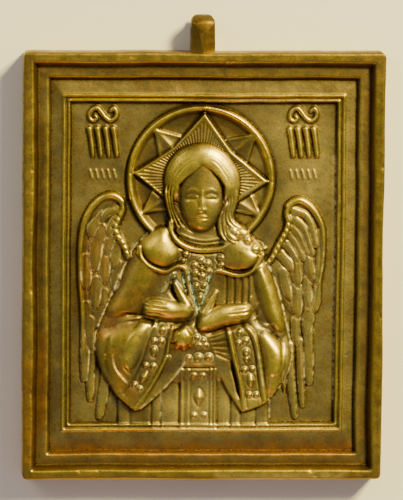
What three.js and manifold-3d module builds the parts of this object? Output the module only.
// A small travelling icon of cast brass: a framed plate with a winged half figure in relief and a
// pierced loop for a cord, all one casting. It lies on its back. +Z comes out of the face, +Y runs
// to the loop, and the origin is the middle of the plate's back. Sizes are in millimetres.

import * as THREE from 'three';
import { mergeVertices } from 'three/addons/utils/BufferGeometryUtils.js';
import Module from 'manifold-3d';

const wasm = await Module();
wasm.setup();

// The plate and its raised frame. Heights are measured from the plate's back.
const plateWidth = 52;
const plateHeight = 62;
const cornerRadius = 0.9;
const backEdgeRound = 0.3;
const rimHeight = 4.6;
const rimWidth = 1.5;
const rimEdgeRound = 0.35;
const wallRun = 0.55;
const bandWidth = 1.65;
const bandHeight = 3.35;
const innerWallRun = 0.4;

// The slope inside the band rises towards the ground and is widest at the foot of the plate.
const slopeFoot = 2.45;
const slopeTop = 3.0;
const slopeWidthSide = 1.6;
const slopeWidthTop = 2.1;
const slopeWidthBottom = 2.8;

// Two fine fillets with a groove between them run round the ground.
const filletWidth = 0.42;
const filletRise = 0.25;
const grooveWidth = 0.36;
const grooveDepth = 0.22;
const groundThickness = 2.3;

// The loop for the cord, cast on the plate's upper edge
const loopWidthFoot = 3.5;
const loopWidthTop = 3.25;
const loopMidHeight = 2.2;
const loopRoot = 1.2;
const loopCrown = 1.65;
const loopCornerRadius = 1.1;
const loopFacetDepth = 0.75;
const loopFacetFlat = 2.4;
const eyeRadius = 1.0;
const eyeLift = 2.6;
const eyeWall = 0.9;

// The carving is drawn in millimetres for a ground of this size and relief, with x = 0 on the
// middle line and heights from the ground, and it is scaled as a whole to the ground it gets.
const drawnGroundWidth = 38.2;
const drawnGroundHeight = 46.5;
const drawnGroundFoot = -22.9;
const drawnRelief = 2.4;
const relief = 2.4;
const carvingFoot = 0.6;

const slopeStart = rimWidth + wallRun + bandWidth + innerWallRun;
const frameSide = slopeStart + slopeWidthSide;
const frameTop = slopeStart + slopeWidthTop;
const frameBottom = slopeStart + slopeWidthBottom;
const moulding = 2 * filletWidth + grooveWidth;
const groundWidth = plateWidth - 2 * (frameSide + moulding);
const groundTop = plateHeight / 2 - frameTop - moulding;
const groundFoot = -plateHeight / 2 + frameBottom + moulding;
const carvingScale = Math.min(
  groundWidth / drawnGroundWidth,
  (groundTop - groundFoot) / drawnGroundHeight,
);
const carvingPlace = new THREE.Matrix4()
  .makeTranslation(0, groundFoot, groundThickness)
  .multiply(new THREE.Matrix4().makeScale(carvingScale, carvingScale, relief / drawnRelief))
  .multiply(new THREE.Matrix4().makeTranslation(0, -drawnGroundFoot, 0));

// Makes a solid of a closed geometry: shared corners are merged, empty triangles are dropped, and
// the faces are turned outwards.
function solidOf(geometry, matrix) {
  let shell = geometry;
  shell.deleteAttribute('normal');
  shell.deleteAttribute('uv');
  if (matrix) shell.applyMatrix4(matrix);
  shell = mergeVertices(shell, 1e-5);
  const corner = shell.getAttribute('position');
  const index = shell.getIndex().array;
  const point = (i) => new THREE.Vector3().fromBufferAttribute(corner, i);
  let triangles = [];
  let volume = 0;
  for (let i = 0; i < index.length; i += 3) {
    const [a, b, c] = index.slice(i, i + 3);
    if (a === b || b === c || c === a) continue;
    triangles.push([a, b, c]);
    volume += point(a).dot(point(b).cross(point(c)));
  }
  if (volume < 0) triangles = triangles.map(([a, b, c]) => [a, c, b]);
  return new wasm.Manifold(new wasm.Mesh({
    numProp: 3,
    vertProperties: new Float32Array(corner.array),
    triVerts: new Uint32Array(triangles.flat()),
  }));
}

const join = (solids) => solids.reduce((whole, piece) => whole.add(piece));

const carved = (geometry) => solidOf(geometry, carvingPlace);

// The value at share t of a short list of values spread evenly from 0 to 1.
function along(values, t) {
  if (typeof values === 'number') return values;
  const place = Math.min(Math.max(t, 0), 1) * (values.length - 1);
  const low = Math.min(Math.floor(place), values.length - 2);
  return THREE.MathUtils.lerp(values[low], values[low + 1], place - low);
}

const curveThrough = (points, closed = false) => new THREE.CatmullRomCurve3(
  points.map(([x, y]) => new THREE.Vector3(x, y, 0)), closed, 'centripetal');

// Half sections of a strand, as shares of its half width and its rise, from the left foot round to
// the right foot.
const RIDGE = [[-1, -1], [-1, 0], [0, 1], [1, 0], [1, -1]];
const FLAT = [[-1, -1], [-1, 0], [-0.8, 1], [0.8, 1], [1, 0], [1, -1]];
const BLADE = [[-1, -1], [0, 1], [1, -1]];

// A long raised form along a curve: a cord, lock, finger, feather, fold or hem. Its edges lie at
// level above the ground, its crown rises above them, and its foot is sunk in what lies under it.
function strand(points, {
  half, rise, level = 0, steps = 6, section = RIDGE, foot = -carvingFoot,
}) {
  const curve = curveThrough(points);
  const form = new THREE.SphereGeometry(1, section.length, steps);
  const position = form.getAttribute('position');
  const columns = section.length + 1;
  for (let i = 0; i < position.count; i++) {
    const row = Math.floor(i / columns);
    const share = row / steps;
    const t = (share + (1 - Math.cos(Math.PI * share)) / 2) / 2;
    const at = curve.getPointAt(t);
    const ahead = curve.getTangentAt(t);
    const end = row === 0 || row === steps;
    const [across, up] = section[(i % columns) % section.length];
    const side = end ? 0 : across * along(half, t);
    const edge = along(level, t);
    const z = up < 0 ? foot : edge + (end ? 0 : up * along(rise, t));
    position.setXYZ(i, at.x - ahead.y * side, at.y + ahead.x * side, end ? edge : z);
  }
  return carved(form);
}

// Rings of a dome, as shares of its outline and of its height.
const PILLOW = [[1, 0], [0.92, 0.5], [0.68, 0.86], [0, 1]];
const SHALLOW = [[1, 0], [0.85, 0.65], [0, 1]];
const FACETED = [[1, 0], [0, 1]];

// A swelling form inside a closed outline that can be seen whole from its centre: a sleeve, cape,
// cap of hair, cheek or palm. With no sides given its outline runs straight from point to point.
function dome(points, centre, { rise, level = 0, rings = PILLOW, sides = 0 }) {
  const edge = sides ? curveThrough(points, true).getSpacedPoints(sides)
    : points.map(([x, y]) => new THREE.Vector2(x, y));
  const count = sides || points.length;
  const profile = [[0, null], [1, null], ...rings];
  const form = new THREE.LatheGeometry(profile.map(([r]) => new THREE.Vector2(r, 0)), count);
  const position = form.getAttribute('position');
  for (let i = 0; i < position.count; i++) {
    const [share, height] = profile[i % profile.length];
    const rim = edge[Math.floor(i / profile.length) % count];
    const z = height === null ? -carvingFoot : level + height * rise;
    position.setXYZ(
      i,
      THREE.MathUtils.lerp(centre[0], rim.x, share),
      THREE.MathUtils.lerp(centre[1], rim.y, share),
      z,
    );
  }
  return carved(form);
}

// A flat raised field with upright sides.
function slab(points, top, sides = 0) {
  const outline = sides ? curveThrough(points, true).getSpacedPoints(sides).slice(0, -1)
    : points.map(([x, y]) => new THREE.Vector2(x, y));
  const form = new THREE.ExtrudeGeometry(new THREE.Shape(outline), {
    depth: top + carvingFoot, bevelEnabled: false,
  });
  form.translate(0, 0, -carvingFoot);
  return carved(form);
}

// A bead or a cut stone on a stem sunk in the plate.
function pearl([x, y], radius, level) {
  const profile = [[0, -carvingFoot], [1.05, -carvingFoot], [0.85, level + 0.45 * radius],
    [0, level + 0.85 * radius]];
  const form = new THREE.LatheGeometry(
    profile.map(([share, z]) => new THREE.Vector2(share * radius, z)), radius < 0.45 ? 5 : 6);
  return carved(form.rotateX(Math.PI / 2).translate(x, y, 0));
}

function gem([x, y], halfWidth, halfLength, turn, level) {
  const profile = [[0, -carvingFoot], [1, -carvingFoot], [1, level], [0, level + 0.45]];
  const form = new THREE.LatheGeometry(profile.map(([r, z]) => new THREE.Vector2(r, z)), 4);
  form.rotateX(Math.PI / 2).scale(halfWidth, halfLength, 1).rotateZ(turn);
  return carved(form.translate(x, y, 0));
}

// The plate: a stack of rectangles joined by sloping faces, given as insets from the plate's edge
// at the sides, top and bottom, with the height of each.
function plate() {
  const step = (inset, height) => ({ side: inset, top: inset, bottom: inset, height });
  const inner = (inset, height) => ({
    side: frameSide + inset, top: frameTop + inset, bottom: frameBottom + inset, height,
  });
  const levels = [
    step(backEdgeRound, 0),
    step(0, backEdgeRound),
    step(0, rimHeight - rimEdgeRound),
    step(rimEdgeRound, rimHeight),
    step(rimWidth - rimEdgeRound / 2, rimHeight),
    step(rimWidth, rimHeight - rimEdgeRound / 2),
    step(rimWidth + wallRun, bandHeight),
    step(rimWidth + wallRun + bandWidth, bandHeight),
    step(slopeStart, slopeFoot),
    inner(0, slopeTop),
    inner(filletWidth / 2, slopeTop + filletRise),
    inner(filletWidth, slopeTop),
    inner(filletWidth + grooveWidth / 2, slopeTop - grooveDepth),
    inner(filletWidth + grooveWidth, slopeTop),
    inner(1.4 * filletWidth + grooveWidth, slopeTop + filletRise),
    inner(moulding, groundThickness),
  ];
  const profile = [null, ...levels, null];
  const form = new THREE.LatheGeometry(profile.map((l) => new THREE.Vector2(l ? 1 : 0, 0)), 4);
  const position = form.getAttribute('position');
  const corners = [[1, 1], [-1, 1], [-1, -1], [1, -1]];
  for (let i = 0; i < position.count; i++) {
    const place = i % profile.length;
    const level = profile[place];
    const [right, up] = corners[Math.floor(i / profile.length) % 4];
    if (!level) {
      position.setXYZ(i, 0, 0, place === 0 ? 0 : groundThickness);
      continue;
    }
    const y = plateHeight / 2 - (up > 0 ? level.top : level.bottom);
    position.setXYZ(i, right * (plateWidth / 2 - level.side), up * y, level.height);
  }
  return solidOf(form).intersect(roundedBlock());
}

// The plate's outer outline with its worn corners.
function roundedBlock() {
  const x = plateWidth / 2;
  const y = plateHeight / 2;
  const outline = new THREE.Shape();
  const turns = [[x, y, 0], [-x, y, 1], [-x, -y, 2], [x, -y, 3]];
  for (const [cornerX, cornerY, quarter] of turns) {
    outline.absarc(
      cornerX - Math.sign(cornerX) * cornerRadius,
      cornerY - Math.sign(cornerY) * cornerRadius,
      cornerRadius, quarter * Math.PI / 2, (quarter + 1) * Math.PI / 2, false,
    );
  }
  const form = new THREE.ExtrudeGeometry(outline, {
    depth: rimHeight, bevelEnabled: false, curveSegments: 3,
  });
  return solidOf(form);
}

// The loop: a lug with an eye from side to side, narrowing a little to its crown, whose face is
// cut by two planes that leave a facet like a pointed shield.
function loop() {
  const edge = plateHeight / 2;
  const halfDepth = eyeRadius + eyeWall;
  const crownY = eyeLift + loopCrown + eyeRadius;
  const side = new THREE.Shape();
  side.moveTo(-loopRoot, loopMidHeight - halfDepth);
  side.lineTo(eyeLift, loopMidHeight - halfDepth);
  side.quadraticCurveTo(crownY, loopMidHeight - halfDepth, crownY, loopMidHeight);
  side.quadraticCurveTo(crownY, loopMidHeight + halfDepth, eyeLift, loopMidHeight + halfDepth);
  side.lineTo(-loopRoot, loopMidHeight + halfDepth);
  side.closePath();
  const eye = new THREE.Path();
  eye.absarc(eyeLift, loopMidHeight, eyeRadius, 0, 2 * Math.PI, true);
  side.holes.push(eye);
  const form = new THREE.ExtrudeGeometry(side, {
    depth: loopWidthFoot, bevelEnabled: false, curveSegments: 5,
  });
  const position = form.getAttribute('position');
  for (let i = 0; i < position.count; i++) {
    const lift = position.getX(i);
    const width = THREE.MathUtils.lerp(loopWidthFoot, loopWidthTop, Math.max(lift, 0) / crownY);
    const x = (position.getZ(i) / loopWidthFoot - 0.5) * width;
    position.setXYZ(i, x, edge + lift, position.getY(i));
  }
  let lug = solidOf(form);
  const face = loopMidHeight + halfDepth;
  for (const right of [-1, 1]) {
    lug = lug.subtract(loopCutter(right, edge, crownY, face));
  }
  return lug.intersect(loopOutline(edge, crownY, face));
}

// The loop's outline from the front, with its two upper corners rounded off.
function loopOutline(edge, crownY, face) {
  const half = loopWidthTop / 2;
  const outline = new THREE.Shape();
  outline.moveTo(-loopWidthFoot, -loopRoot);
  outline.lineTo(loopWidthFoot, -loopRoot);
  outline.lineTo(loopWidthFoot, crownY - loopCornerRadius);
  outline.lineTo(half, crownY - loopCornerRadius);
  outline.absarc(
    half - loopCornerRadius, crownY - loopCornerRadius, loopCornerRadius, 0, Math.PI / 2, false,
  );
  outline.absarc(
    loopCornerRadius - half, crownY - loopCornerRadius, loopCornerRadius, Math.PI / 2, Math.PI, false,
  );
  outline.lineTo(-loopWidthFoot, crownY - loopCornerRadius);
  outline.closePath();
  const form = new THREE.ExtrudeGeometry(outline, {
    depth: 2 * face, bevelEnabled: false, curveSegments: 2,
  });
  return solidOf(form.translate(0, edge, -face / 2));
}

// One of the two wedges cut from the loop's face. Its sole runs from the middle line at the foot,
// where the two meet, out to the crown's corner, and falls to loopFacetDepth at the loop's side.
function loopCutter(right, edge, crownY, face) {
  const reach = 2 * loopWidthFoot;
  const form = new THREE.BoxGeometry(reach, 3 * crownY, face);
  form.translate(right * reach / 2, 0, face / 2);
  form.rotateY(right * Math.atan2(loopFacetDepth, loopWidthFoot / 2));
  form.rotateZ(-right * Math.atan2(loopFacetFlat / 2, crownY));
  return solidOf(form.translate(0, edge, face));
}

const haloCentre = [-0.4, 12.6];
const haloRadius = 10.7;

function haloAndStars() {
  const profile = [
    [0, -carvingFoot], [haloRadius, -carvingFoot], [haloRadius, 0], [haloRadius - 0.2, 0.75],
    [haloRadius - 0.6, 0.8], [haloRadius - 1.1, 0.3], [haloRadius - 1.8, 0.1], [0, 0.1],
  ];
  const dish = new THREE.LatheGeometry(profile.map(([r, z]) => new THREE.Vector2(r, z)), 32)
    .rotateX(Math.PI / 2).translate(haloCentre[0], haloCentre[1], 0);
  const backTips = [[-7.1, 19.9], [-9.1, 7.7], [8.3, 7.2], [7.6, 19.2]];
  const frontTips = [[0.05, 22.2], [-10.2, 13.3], [-0.5, 3.4], [9.3, 12.3]];
  return [
    carved(dish),
    dome(starOutline(backTips, 0.72), haloCentre, { rise: 1.7, level: 0.15, rings: FACETED }),
    dome(starOutline(frontTips, 0.86), haloCentre, {
      rise: 0.25, level: 0.6,
      rings: [[1, 0], [0.965, 1], [0.92, 0.1], [0, 0.1]],
    }),
  ];
}

// The outline of a four-pointed star: between two tips a side is drawn in towards the middle.
function starOutline(tips, hollow) {
  return tips.flatMap((tip, i) => {
    const next = tips[(i + 1) % tips.length];
    const side = [0, 1].map((k) =>
      haloCentre[k] + hollow * ((tip[k] + next[k]) / 2 - haloCentre[k]));
    return [tip, side];
  });
}

function head() {
  const cap = dome(
    [[0, 17.6], [-3, 16.9], [-5, 15], [-5.8, 12], [-5.3, 9.2], [-3, 8], [0, 7.5], [2.6, 8],
      [4.6, 9.4], [5.2, 12], [4.1, 14.9], [2.2, 16.9]],
    [-0.3, 12.6], { rise: 1.2, level: 0.7, sides: 14 });
  const face = dome(
    [[-0.1, 14.8], [-1.7, 13.7], [-3.0, 11.9], [-3.15, 9.6], [-2.7, 7.2], [-1.5, 5.4],
      [-0.35, 4.9], [0.8, 5.4], [2.1, 7.2], [2.65, 9.6], [2.5, 11.9], [1.2, 13.7]],
    [-0.25, 9.8], { rise: 1.05, level: 1.05, sides: 14 });
  const feature = (points, half, rise, level) => strand(
    points.map(([x, y]) => [x - 0.25, y]),
    { half, rise, level, steps: 3, section: BLADE, foot: 1.4 });
  const parts = [cap, face];
  for (const side of [-1, 1]) {
    parts.push(
      feature([[side * 0.35, 11], [side * 1.2, 11.3], [side * 2.1, 10.9]], 0.3, 0.15,
        [2.0, 2.02, 1.8]),
      feature([[side * 0.5, 10.2], [side * 1.2, 10.3], [side * 1.95, 10.15]], 0.4, 0.14,
        [1.9, 2.0, 1.8]),
    );
  }
  parts.push(feature([[0, 11], [0, 9.8], [0, 8.3]], [0.3, 0.36, 0.6], [0.1, 0.3, 0.5], 2.0));
  for (const y of [7.35, 6.95]) {
    parts.push(feature([[-0.8, y], [0, y - 0.05], [0.8, y]], 0.26, 0.2, [1.85, 1.95, 1.85]));
  }
  return parts;
}

// Locks combed from the middle parting, round the face and down to the shoulders.
function hairLocks() {
  const locks = [
    [0.62, [[-0.4, 16.9], [-3.1, 16], [-4.9, 13.4], [-5.2, 11], [-5.1, 8.6], [-4.9, 5.9]]],
    [0.6, [[-0.3, 15.6], [-2.3, 14.6], [-3.7, 12.6], [-4.2, 10.3], [-4.2, 8], [-4.1, 5.2]]],
    [0.4, [[-3.5, 9.4], [-3.5, 7.5], [-3.4, 6.3], [-3.1, 5.1]]],
    [0.62, [[0.2, 16.9], [2.6, 15.8], [4.2, 13.4], [4.6, 11], [4.2, 8.5], [4.4, 6.6], [6, 4.8],
      [8, 3.2]]],
    [0.6, [[0.1, 15.6], [1.9, 14.6], [3.2, 12.4], [3.6, 10], [3.3, 7.6], [3.5, 5.7], [4.8, 4.2],
      [6.6, 3.5]]],
    [0.45, [[2.9, 8.6], [2.6, 6.3], [3, 4.6], [4.4, 3.3]]],
  ];
  const parts = locks.map(([half, line]) => strand(line, {
    half: [0.5 * half, half, half, 0.8 * half], rise: 0.4,
    level: line[0][1] > 12 ? [1.3, 1.45, 1.35, 1.3] : [1.3, 1.2, 1.4],
    steps: line.length - 1,
  }));
  parts.push(dome([[6.7, 2.9], [7.4, 3.4], [8.4, 3], [8.9, 2.3], [8.3, 1.8], [7.2, 1.9]],
    [7.7, 2.6], { rise: 0.5, level: 1.3, rings: SHALLOW }));
  return parts;
}

function shoulders() {
  const leftCape = dome(
    [[-5, 5.7], [-6.8, 5.3], [-8.3, 4.2], [-9.4, 2.5], [-8.8, 0.8], [-7.3, -0.4], [-5.3, -0.5],
      [-3.6, 0], [-2.9, 1.6], [-4, 3.8]],
    [-6, 2.6], { rise: 1.5, level: 0.5 });
  const rightCape = dome(
    [[3, 4.6], [5, 4.4], [7, 4], [8.7, 2.2], [8.2, 1.1], [6.5, -0.6], [4.5, -1.3], [2.6, -0.6],
      [2.6, 1.6]],
    [5.5, 1.8], { rise: 1.3, level: 0.5 });
  const yoke = dome(
    [[-4.6, 4.6], [-3.4, 0], [-2, -1.6], [-0.4, -3.6], [1, -1.6], [2.9, -0.4], [3.6, 3.4],
      [0, 4.6]],
    [-0.3, 1.4], { rise: 0.5, level: 0.9, rings: SHALLOW });
  const cords = [
    strand([[-9.3, 2.5], [-8.7, 0.7], [-7.3, -0.5], [-5.7, -0.75], [-4.2, -0.25], [-3, -0.2],
      [-2.4, -1.1]],
    { half: 0.28, rise: 0.4, level: [0.9, 1.2, 1.3, 1.3], steps: 8 }),
    strand([[8.5, 1.6], [7.4, 0.1], [5.6, -1.1], [4.2, -1.3], [2.7, -0.8], [1.4, -0.7]],
      { half: 0.28, rise: 0.4, level: [0.9, 1.2, 1.3, 1.3], steps: 7 }),
  ];
  const collar = strand(
    [[-4.7, 5.9], [-4.5, 4.7], [-3.4, 3.3], [-1.9, 2.6], [0, 2.4], [1.6, 2.65], [3.1, 3.4]],
    { half: 0.45, rise: 0.5, level: 1.25, steps: 8 });
  const neck = dome([[-3.4, 6.2], [-2.6, 3.9], [-0.2, 3.1], [2.2, 3.9], [2.4, 6.2], [-0.4, 7]],
    [-0.4, 5], { rise: 0.2, level: 1.1, rings: SHALLOW, sides: 8 });
  return [leftCape, rightCape, yoke, ...cords, collar, neck];
}

function body() {
  const silhouette = slab(
    [[-8.2, 4.3], [-9.6, 2.7], [-11, 0.1], [-12.6, -3.5], [-14, -6.7], [-15.1, -9.6],
      [-15.4, -12.2], [-14.8, -14.6], [-13.4, -17.2], [-12.1, -19.4], [-12.1, -22.9],
      [9.7, -22.9], [9.6, -19.3], [11.3, -17.3], [12.5, -14.8], [12.9, -12.4], [12.1, -9],
      [11.4, -6], [10.7, -3], [9.6, -0.7], [8.8, 1.6], [7, 4.3]],
    0.4);
  const upperArms = [
    dome([[-8.6, 3.2], [-9.8, 1.9], [-11.2, -0.8], [-12.8, -4.4], [-14.2, -7.8], [-12.4, -8],
      [-9.2, -7.4], [-6.6, -4.8], [-4.4, -1.2], [-6.2, -0.8]],
    [-9.6, -3.4], { rise: 0.7, level: 0.45, rings: SHALLOW }),
    dome([[8.4, 1], [9.6, -1.2], [10.7, -4], [11.5, -7.4], [12.2, -10.6], [10.2, -9.6],
      [7.6, -8.2], [6.6, -5], [6, -1.6], [7.2, -0.6]],
    [9, -4.6], { rise: 0.85, level: 0.45, rings: SHALLOW }),
  ];
  return [silhouette, ...upperArms];
}

function sleeves() {
  const left = dome(
    [[-13.4, -8.5], [-10.8, -7.7], [-7.4, -8], [-7.8, -11], [-9, -14.6], [-10.6, -18.4],
      [-12.1, -19.1], [-13.6, -16.8], [-14.9, -14.2], [-15.3, -11.6]],
    [-11.2, -12.2], { rise: 1.35, level: 0.4, sides: 14 });
  const right = dome(
    [[7, -8.8], [9, -8.9], [10.8, -10.2], [12.2, -12.2], [12.4, -14.8], [11.2, -17.2],
      [9.3, -19.1], [8.6, -16], [8, -12.4]],
    [10.1, -13.6], { rise: 1.35, level: 0.4, sides: 14 });
  const linings = [
    slab([[-9.8, -20.8], [-8.5, -18.8], [-7.3, -16.9], [-5.4, -14.4], [-3.4, -12.6],
      [-2.3, -12.9], [-3.3, -15], [-4.5, -16.5], [-5.8, -17.9], [-8, -19.9]], 0.85),
    slab([[1.1, -11.2], [2, -12.1], [3.8, -14.1], [4.7, -16.3], [5.8, -20.3], [5.4, -20.9],
      [4.5, -19.9], [2, -15], [0.9, -12]], 0.85),
  ];
  const hems = [
    [[-2.3, -12.8], [-4.2, -16.2], [-6.6, -18.6], [-9.7, -20.8]],
    [[0.9, -11.8], [2.2, -15.3], [3.9, -18.9], [5.5, -21]],
  ].map((line) => strand(line, {
    half: 0.26, rise: 0.15, level: 0.9, steps: 4, section: BLADE, foot: 0.7,
  }));
  const pleats = [0, 1, 2].map((i) => strand(
    [[1.6 + 0.2 * i, -10.6 - 0.7 * i], [2.9, -10.4 - 0.9 * i], [3.9 + 0.2 * i, -10.2 - 1.1 * i]],
    { half: 0.3, rise: 0.25, level: 0.6, steps: 3 }));
  const folds = [
    [[-13.5, -10.2], [-13.4, -12.8], [-13, -16]],
    [[-13, -13], [-12.2, -15], [-10.9, -17]],
    [[9, -9.3], [10.7, -10.6], [11.3, -12.6], [11.4, -14.6]],
  ].map((line) => strand(line, {
    half: 0.3, rise: 0.2, level: [1.2, 1.6, 1.2], steps: 4, section: BLADE, foot: 0.9,
  }));
  return [left, right, ...linings, ...hems, ...pleats, ...folds];
}

// The embroidered bands down the two sleeves, with their hems and stones.
function sleeveBands() {
  const leftLine = [[-5.6, -8.1], [-6.3, -10.8], [-7.3, -13.6], [-8.6, -16.3], [-10.2, -19.8]];
  const rightLine = [[4.9, -8.9], [5.8, -12], [6.7, -15], [7.3, -18], [7.4, -20.5]];
  const parts = [leftLine, rightLine].map((line) => strand(line, {
    half: [1.2, 1.45, 1.45, 1.2], rise: 0.15, level: [1.35, 1.5, 1.4, 1.0], steps: 6,
    section: FLAT,
  }));
  const hems = [
    [[-7, -8.2], [-8, -10.6], [-8.9, -13.2], [-10, -16], [-10.8, -18.2]],
    [[-4.2, -8.4], [-5, -12], [-6, -15], [-7.8, -17.7], [-9.7, -20.6]],
    [[3.7, -9.6], [4.4, -13], [5.2, -16], [5.9, -20.3]],
    [[6.6, -8.9], [7.8, -11.6], [8.4, -14.6], [9, -19.2]],
  ];
  for (const hem of hems) {
    parts.push(strand(hem, {
      half: 0.34, rise: 0.3, level: [1.45, 1.6, 1.5, 1.15], steps: 4, section: BLADE, foot: 0.8,
    }));
  }
  const stones = [
    [[-5.8, -9], 0.5, 0.75, 0.1], [[-7, -12.4], 0.48, 0.9, 0.1], [[-8.7, -16], 0.5, 0.95, 0.5],
    [[5.3, -9.6], 0.4, 0.65, 0], [[6.2, -13], 0.5, 1.05, 0], [[7, -16.9], 0.5, 0.9, 0],
  ];
  for (const [place, halfWidth, halfLength, turn] of stones) {
    parts.push(gem(place, halfWidth, halfLength, -turn, 1.6));
  }
  const pearls = [
    [-7, -10.8], [-5.9, -10.9], [-8.3, -14.3], [-7.2, -14.6], [-9.9, -17.1], [-9, -17.7],
    [5.2, -11.3], [6.3, -11], [6, -15], [7.1, -14.8], [6.7, -18.7], [7.8, -18.6],
  ];
  for (const place of pearls) parts.push(pearl(place, 0.42, 1.55));
  return parts;
}

function skirt() {
  const folds = [
    [-11.3, -18.4, 0.6], [-9.5, -20, 0.75], [-7.6, -19.2, 0.7], [-6.1, -17.4, 0.55],
    [-4, -15.5, 0.8], [3.2, -16.5, 0.8], [4.8, -19.4, 0.6], [6.1, -20, 0.55], [7.4, -19.8, 0.6],
    [8.8, -18.8, 0.65],
  ].map(([x, top, half]) => strand([[x, top], [x, -21.8], [x, -25.2]], {
    half, rise: 0.25, level: 0.4, steps: 2, section: BLADE, foot: 0.3,
  }));
  const orphrey = slab([[-3, -14.7], [-3, -22.9], [1.6, -22.9], [1.8, -14.7]], 0.6);
  const edges = [-2.9, -2.1, 1.05, 1.7].map((x) => strand([[x, -14.2], [x, -19], [x, -24]], {
    half: 0.24, rise: 0.15, level: 0.65, steps: 2, section: BLADE, foot: 0.5,
  }));
  const belt = slab([[-2.9, -14.5], [-3, -13.4], [-2.2, -12.6], [0.9, -12.2], [1.7, -14.5]], 0.85);
  const beltPearls = [[-1.95, -13.4], [-0.6, -13.4], [0.8, -13.3], [0.4, -12], [-0.6, -11.8]]
    .map((place) => pearl(place, 0.5, 1.0));
  const panelPearls = [[-1.2, -15.8], [0.1, -15.8], [-1.2, -21.8], [0.3, -21.8]]
    .map((place) => pearl(place, 0.35, 0.7));
  return [...folds, orphrey, ...edges, belt, ...beltPearls, ...panelPearls,
    gem([-0.6, -19.1], 0.62, 1.2, 0, 0.75)];
}

// The chest between the capes: a rosette, pearls, the hanging ends of the stole and pleats.
function chest() {
  const rosetteCentre = [-0.3, -0.3];
  const parts = [pearl(rosetteCentre, 0.5, 1.7)];
  for (let i = 0; i < 6; i++) {
    const turn = Math.PI / 2 + i * Math.PI / 3;
    parts.push(pearl([
      rosetteCentre[0] + 1.05 * Math.cos(turn),
      rosetteCentre[1] + 1.05 * Math.sin(turn),
    ], 0.5, 1.55));
  }
  const pearls = [[-2.5, 2], [-2.8, 0.9], [2.3, 1.3], [2.4, 0.3], [-1, -2.8], [0.3, -2.7]];
  for (const place of pearls) parts.push(pearl(place, 0.4, 1.3));
  parts.push(slab([[-2.2, -1], [-1.7, -4], [-0.9, -7.4], [-0.2, -6.4], [0.6, -3.6], [1.2, -0.8]],
    1.0));
  parts.push(gem([-0.5, -4.7], 0.45, 0.75, 0, 1.2));
  for (const line of [[[-2.1, -1], [-1.7, -4], [-1, -7]], [[1.1, -0.9], [0.6, -3.6], [-0.4, -6.6]]]) {
    parts.push(strand(line, { half: 0.18, rise: 0.25, level: 1.0, steps: 3 }));
  }
  for (const x of [1.7, 2.75, 3.85, 4.95, 6]) {
    parts.push(strand([[x, -0.2], [x + 0.15, -3.5], [x, -7]], {
      half: 0.56, rise: 0.3, level: 0.7, steps: 3, section: BLADE, foot: 0.4,
    }));
  }
  for (const line of [[[-3.6, -0.9], [-4.6, -2.6], [-5.8, -4]], [[-3, -1], [-2.7, -2.6], [-2.5, -4]]]) {
    parts.push(strand(line, { half: 0.3, rise: 0.25, level: 0.8, steps: 3 }));
  }
  return parts;
}

function hands() {
  const palms = [
    dome([[-1.3, -7], [-1.9, -5.4], [-2.8, -4.6], [-4.2, -4.8], [-6, -4.6], [-6.4, -6.2],
      [-6, -7.5], [-4, -7.85], [-2.2, -7.6]],
    [-3.8, -6.2], { rise: 1.0, level: 1.05, sides: 12 }),
    dome([[-1.3, -9.3], [-1.2, -8], [-0.2, -6.6], [1, -6], [3, -5.7], [4.2, -6.6], [4, -8.2],
      [2, -9], [0.3, -9.4]],
    [1.2, -7.6], { rise: 1.2, level: 1.05, sides: 12 }),
  ];
  const fingers = [];
  for (let i = 0; i < 4; i++) {
    const drop = 0.72 * i;
    fingers.push(strand([[-4.6, -5 - drop], [-7, -4.75 - drop], [-9 - 0.1 * (i % 3), -4.85 - drop]], {
      half: 0.38, rise: 0.5, level: [1.6, 1.5, 1.2], steps: 4,
    }));
    const spread = 0.66 * i;
    fingers.push(strand([[2.6, -6.3 - spread], [4.8, -6 - 0.98 * spread],
      [6.3 + 0.35 * Math.sin(i), -5.7 - 0.95 * spread]], {
      half: 0.38, rise: 0.5, level: [1.7, 1.6, 1.2], steps: 4,
    }));
  }
  const thumbs = [[[-2.5, -5.3], [-3.2, -3.9], [-4, -2.7]], [[0.5, -6.6], [1.1, -5.4], [1.7, -4.2]]]
    .map((line) => strand(line, { half: [0.5, 0.42, 0.3], rise: 0.5, level: 1.2, steps: 4 }));
  const wrist = strand([[-4.2, -12], [-3, -10.2], [-1.6, -8.6]], {
    half: [1, 1.1, 0.9], rise: 0.55, level: 1.1, steps: 5,
  });
  const bracelet = [[-3.7, -11.4], [-2.8, -11.5], [-2, -11], [-3.1, -9.6], [-2.2, -9.4]]
    .map((place) => pearl(place, 0.45, 1.6));
  return [...palms, ...fingers, ...thumbs, wrist, ...bracelet];
}

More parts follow.
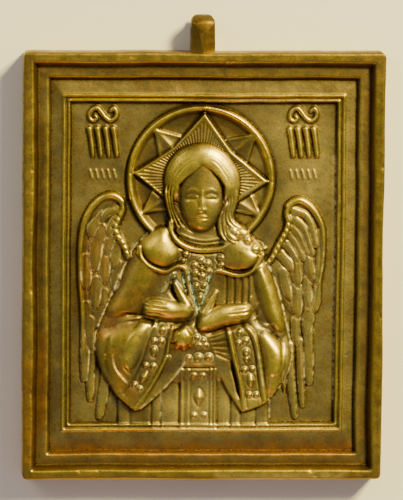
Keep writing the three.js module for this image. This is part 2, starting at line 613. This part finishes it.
// One wing: its field, the smooth leading edge, the beaded quill along its inner side and
// staggered rows of feathers that lengthen towards the ground's lower edge.
function wing({ outline, centre, edge, quill, columns, first, pitch, primaries }) {
  const parts = [
    dome(outline, centre, { rise: 0.15, level: 0.3, rings: SHALLOW, sides: 14 }),
    strand(edge, { half: [0.3, 0.5, 0.45, 0.3], rise: 0.5, level: [0.5, 0.35], steps: 7 }),
    strand(quill, {
      half: [0.28, 0.58, 0.32, 0.58, 0.32, 0.58, 0.28], rise: 0.45, level: 0.5, steps: 12,
    }),
  ];
  columns.forEach(({ x, lean, rows, half }, column) => {
    for (let row = 0; row < rows; row++) {
      const tip = first - pitch * row - (column % 2) * pitch / 2;
      parts.push(strand([[x - lean, tip + 1.15 * pitch], [x - lean / 3, tip + pitch / 2], [x, tip]], {
        half: [0.8 * half, 1.3 * half, 1.25 * half], rise: 0.22, level: [0.4, 0.5, 0.6], steps: 3,
        section: BLADE, foot: 0.34,
      }));
    }
  });
  for (const line of primaries) {
    parts.push(strand(line, {
      half: [0.5, 0.66, 0.62], rise: 0.22, level: [0.35, 0.3, 0.25], steps: 3,
    }));
  }
  return parts;
}

function wings() {
  const left = wing({
    outline: [[-11, 1.5], [-11.8, 4], [-12.5, 6.4], [-12, 9.2], [-13.6, 10.3], [-15.6, 9.3],
      [-17.3, 6.4], [-18.1, 3], [-18, -3], [-17.3, -8.6], [-15.5, -9.4], [-13.6, -6]],
    centre: [-15, 0],
    edge: [[-11.9, 9.2], [-13.4, 10.2], [-15.4, 9.4], [-17, 6.8], [-17.9, 3.6], [-18.1, 0],
      [-17.9, -4], [-17.4, -8.4]],
    quill: [[-11.7, 8.6], [-12, 7.2], [-12.4, 6], [-12, 4.6], [-11.3, 2.9], [-10.8, 1.7]],
    columns: [
      { x: -16.7, lean: -0.5, rows: 4, half: 0.72 },
      { x: -15.4, lean: -0.5, rows: 4, half: 0.72 },
      { x: -14, lean: -0.5, rows: 3, half: 0.7 },
      { x: -12.8, lean: -0.3, rows: 2, half: 0.6 },
    ],
    first: 3.9,
    pitch: 3.8,
    primaries: [
      [[-16.9, -7], [-17.1, -12], [-17.2, -16.8]], [[-16, -8], [-16.1, -14], [-16.2, -19.8]],
      [[-15.3, -12.5], [-15, -17], [-15, -22.5]], [[-14.4, -15.5], [-14.1, -18], [-13.9, -21]],
    ],
  });
  const right = wing({
    outline: [[9.4, 0.3], [10.8, 3], [12.1, 5], [12, 8], [13.4, 9.5], [15.2, 8.8], [16.9, 6.2],
      [17.5, 3], [17.2, -2], [16.4, -8], [14.4, -9.5], [12, -7], [10.8, -3]],
    centre: [14, 0],
    edge: [[12.2, 8.6], [13.5, 9.5], [15.2, 8.7], [16.8, 6.2], [17.3, 3.4], [17.3, 0.2],
      [16.8, -3.8], [16.2, -8.4]],
    quill: [[12.2, 8.2], [12.1, 6.9], [12.4, 5.6], [11.8, 4.2], [10.7, 2.6], [9.7, 0.9]],
    columns: [
      { x: 12.2, lean: 0.9, rows: 2, half: 0.52 },
      { x: 13.2, lean: 0.8, rows: 3, half: 0.55 },
      { x: 14.2, lean: 0.8, rows: 3, half: 0.55 },
      { x: 15.2, lean: 0.7, rows: 3, half: 0.55 },
      { x: 16.2, lean: 0.6, rows: 3, half: 0.52 },
    ],
    first: 1.6,
    pitch: 3.7,
    primaries: [
      [[15.9, -8], [15.6, -12.5], [15.4, -17.1]], [[14.4, -9.5], [14.3, -15], [14.6, -20.5]],
      [[13.4, -11.5], [13.4, -17], [14, -22.2]], [[12.7, -14.5], [12.6, -18.5], [13.2, -22.3]],
    ],
  });
  return [...left, ...right];
}

// A scroll over two rows of leaning strokes in each upper corner of the ground.
function ornaments() {
  const parts = [];
  for (const [x, y] of [[-14.5, 21.9], [14.3, 21.9]]) {
    parts.push(strand([[x - 0.8, y - 0.6], [x - 1.5, y - 0.8], [x - 1.8, y], [x - 1.1, y + 0.8],
      [x, y], [x + 1.1, y - 0.8], [x + 1.8, y], [x + 1.5, y + 0.8], [x + 0.8, y + 0.6]],
    { half: 0.32, rise: 0.25, level: 0.2, steps: 10, section: BLADE, foot: -0.1 }));
    for (const shift of [-1.75, -0.6, 0.55, 1.7]) {
      parts.push(strand([[x + shift - 0.2, y - 1.9], [x + shift + 0.1, y - 3.9],
        [x + shift + 0.4, y - 6.2]],
      { half: [0.4, 0.3, 0.4], rise: 0.25, level: 0.2, steps: 3, section: BLADE, foot: -0.1 }));
    }
    for (let i = 0; i < 4; i++) {
      const across = x + (i - 1.5);
      parts.push(strand([[across - 0.15, y - 8.1], [across, y - 8.7], [across + 0.15, y - 9.3]], {
        half: 0.24, rise: 0.08, level: 0.1, steps: 2, section: BLADE, foot: -0.05,
      }));
    }
  }
  return parts;
}

const casting = join([
  plate(), loop(), ...haloAndStars(), ...body(), ...skirt(), ...wings(), ...sleeves(),
  ...sleeveBands(), ...shoulders(), ...chest(), ...head(), ...hairLocks(), ...hands(),
  ...ornaments(),
]);

function meshOf(solid) {
  const { vertProperties, triVerts } = solid.getMesh();
  const geometry = new THREE.BufferGeometry();
  geometry.setAttribute('position', new THREE.Float32BufferAttribute(vertProperties, 3));
  geometry.setIndex([...triVerts]);
  geometry.computeVertexNormals();
  const brass = new THREE.MeshStandardMaterial({ color: 0x8f7432, roughness: 0.38, metalness: 1 });
  return new THREE.Mesh(geometry, brass);
}

const icon = new THREE.Group();
const castingMesh = meshOf(casting);
castingMesh.name = 'icon_casting';
icon.add(castingMesh);

export default icon;
